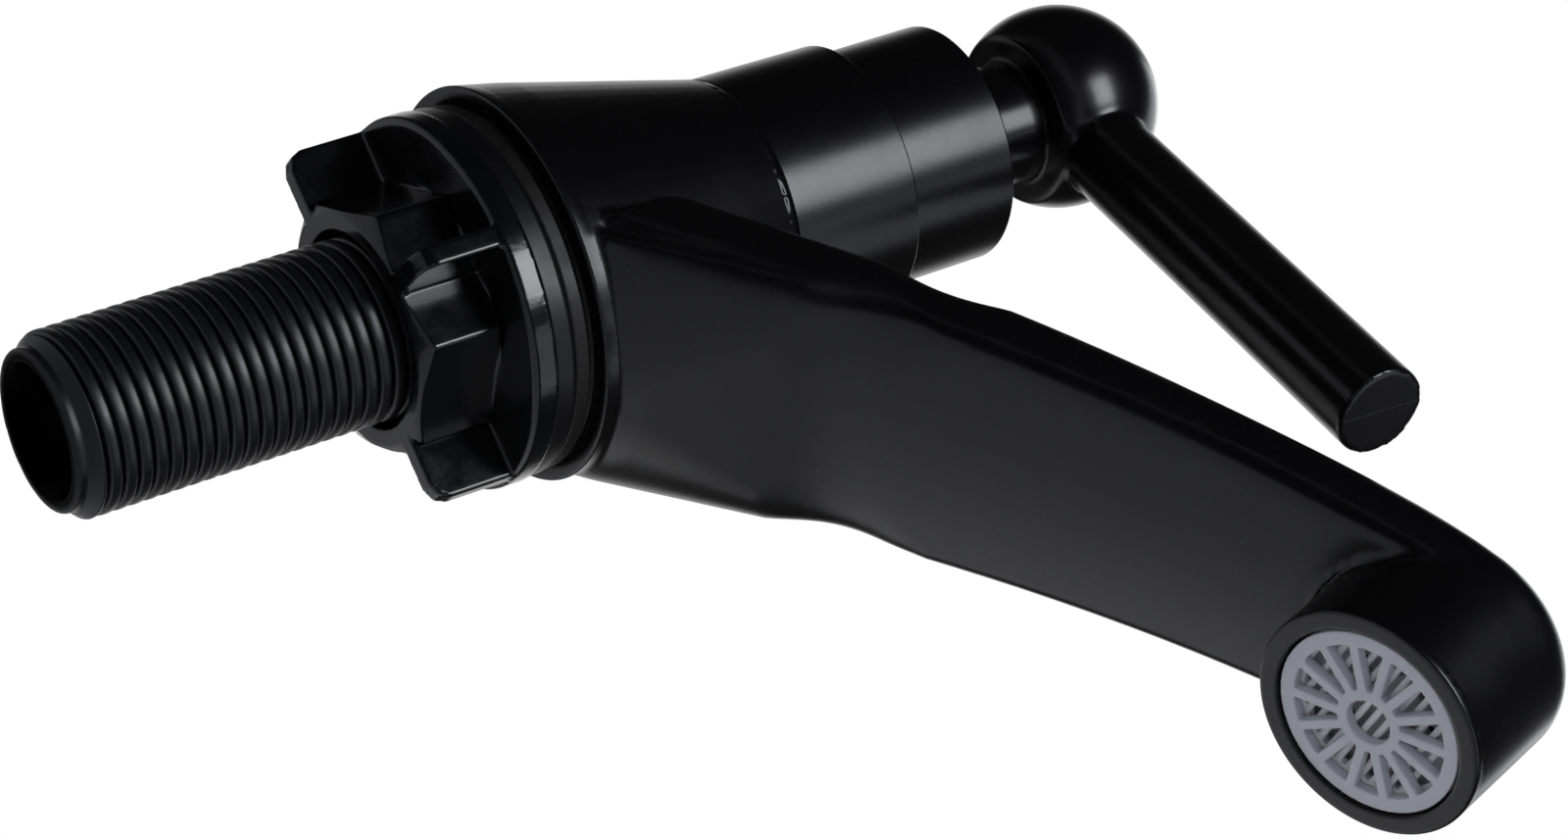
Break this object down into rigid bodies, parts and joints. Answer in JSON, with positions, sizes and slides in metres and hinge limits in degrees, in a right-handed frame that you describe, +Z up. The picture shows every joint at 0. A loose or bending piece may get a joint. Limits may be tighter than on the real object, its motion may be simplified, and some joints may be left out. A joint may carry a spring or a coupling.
{
  "type": "basin tap",
  "caption": "Pillar basin tap with a long flat spout, spoked aerator, ball lever on a quarter-turn cartridge, and a threaded tail with washers and a winged backnut.",
  "frame": {"origin": "centre of the underside of the body, where it stands on the basin, on the axis of the tail", "axes": "+Z runs up from the tail to the lever; the spout points along -Y; +X is the tap's left seen from behind it, so that X, Y and Z are right-handed"},
  "size_m": [0.0458, 0.1346, 0.1466],
  "materials": {
    "satin_black": "moulded plastic with a satin black coat",
    "gloss_black": "black plastic, glossy from the mould",
    "washer_rubber": "smooth black rubber",
    "seal_rubber": "black seal rubber",
    "cartridge_plastic": "natural moulded plastic",
    "ceramic": "ground alumina ceramic",
    "spindle_brass": "turned brass",
    "spring_steel": "bright steel",
    "milky_plastic": "milky translucent plastic"
  },
  "bodies": {
    "tap": {"tap_body": "satin_black", "threaded_tail": "gloss_black", "tail_seal": "seal_rubber", "base_gasket": "seal_rubber", "cartridge_housing": "cartridge_plastic", "seat_seal": "seal_rubber", "fixed_disc": "ceramic", "thrust_ring": "cartridge_plastic", "bonnet_sleeve": "satin_black", "aerator_grid": "milky_plastic", "aerator_bars": "milky_plastic", "aerator_shell": "milky_plastic", "flow_plate": "milky_plastic", "aerator_seal": "seal_rubber"},
    "lever": {"lever_handle": "satin_black", "handle_skirt": "satin_black", "handle_screw": "spring_steel", "screw_cap": "satin_black", "spindle": "spindle_brass", "moving_disc": "ceramic", "spindle_ring_lower": "seal_rubber", "spindle_ring_upper": "seal_rubber", "spindle_clip": "spring_steel"},
    "washers": {"slip_washer": "gloss_black", "rubber_washer": "washer_rubber"},
    "nut": {"backnut": "gloss_black"}
  },
  "joints": [
    {"name": "lever_turn", "type": "hinge", "parent": "tap", "child": "lever", "pos_m": [0, 0, 0.0777], "axis": [0, 0, 1], "range_deg": [0, 90]},
    {"name": "washer_slide", "type": "slide", "parent": "tap", "child": "washers", "axis": [0, 0, 1], "range_m": [-0.03, 0]},
    {"name": "nut_turn", "type": "hinge", "parent": "washers", "child": "nut", "pos_m": [0, 0, -0.0116], "axis": [0, 0, 1], "range_deg": [-5960, 0]}
  ],
  "couplings": [
    {"joint": "nut_turn", "follows": "washer_slide", "rad_per_m": 3463.7}
  ]
}
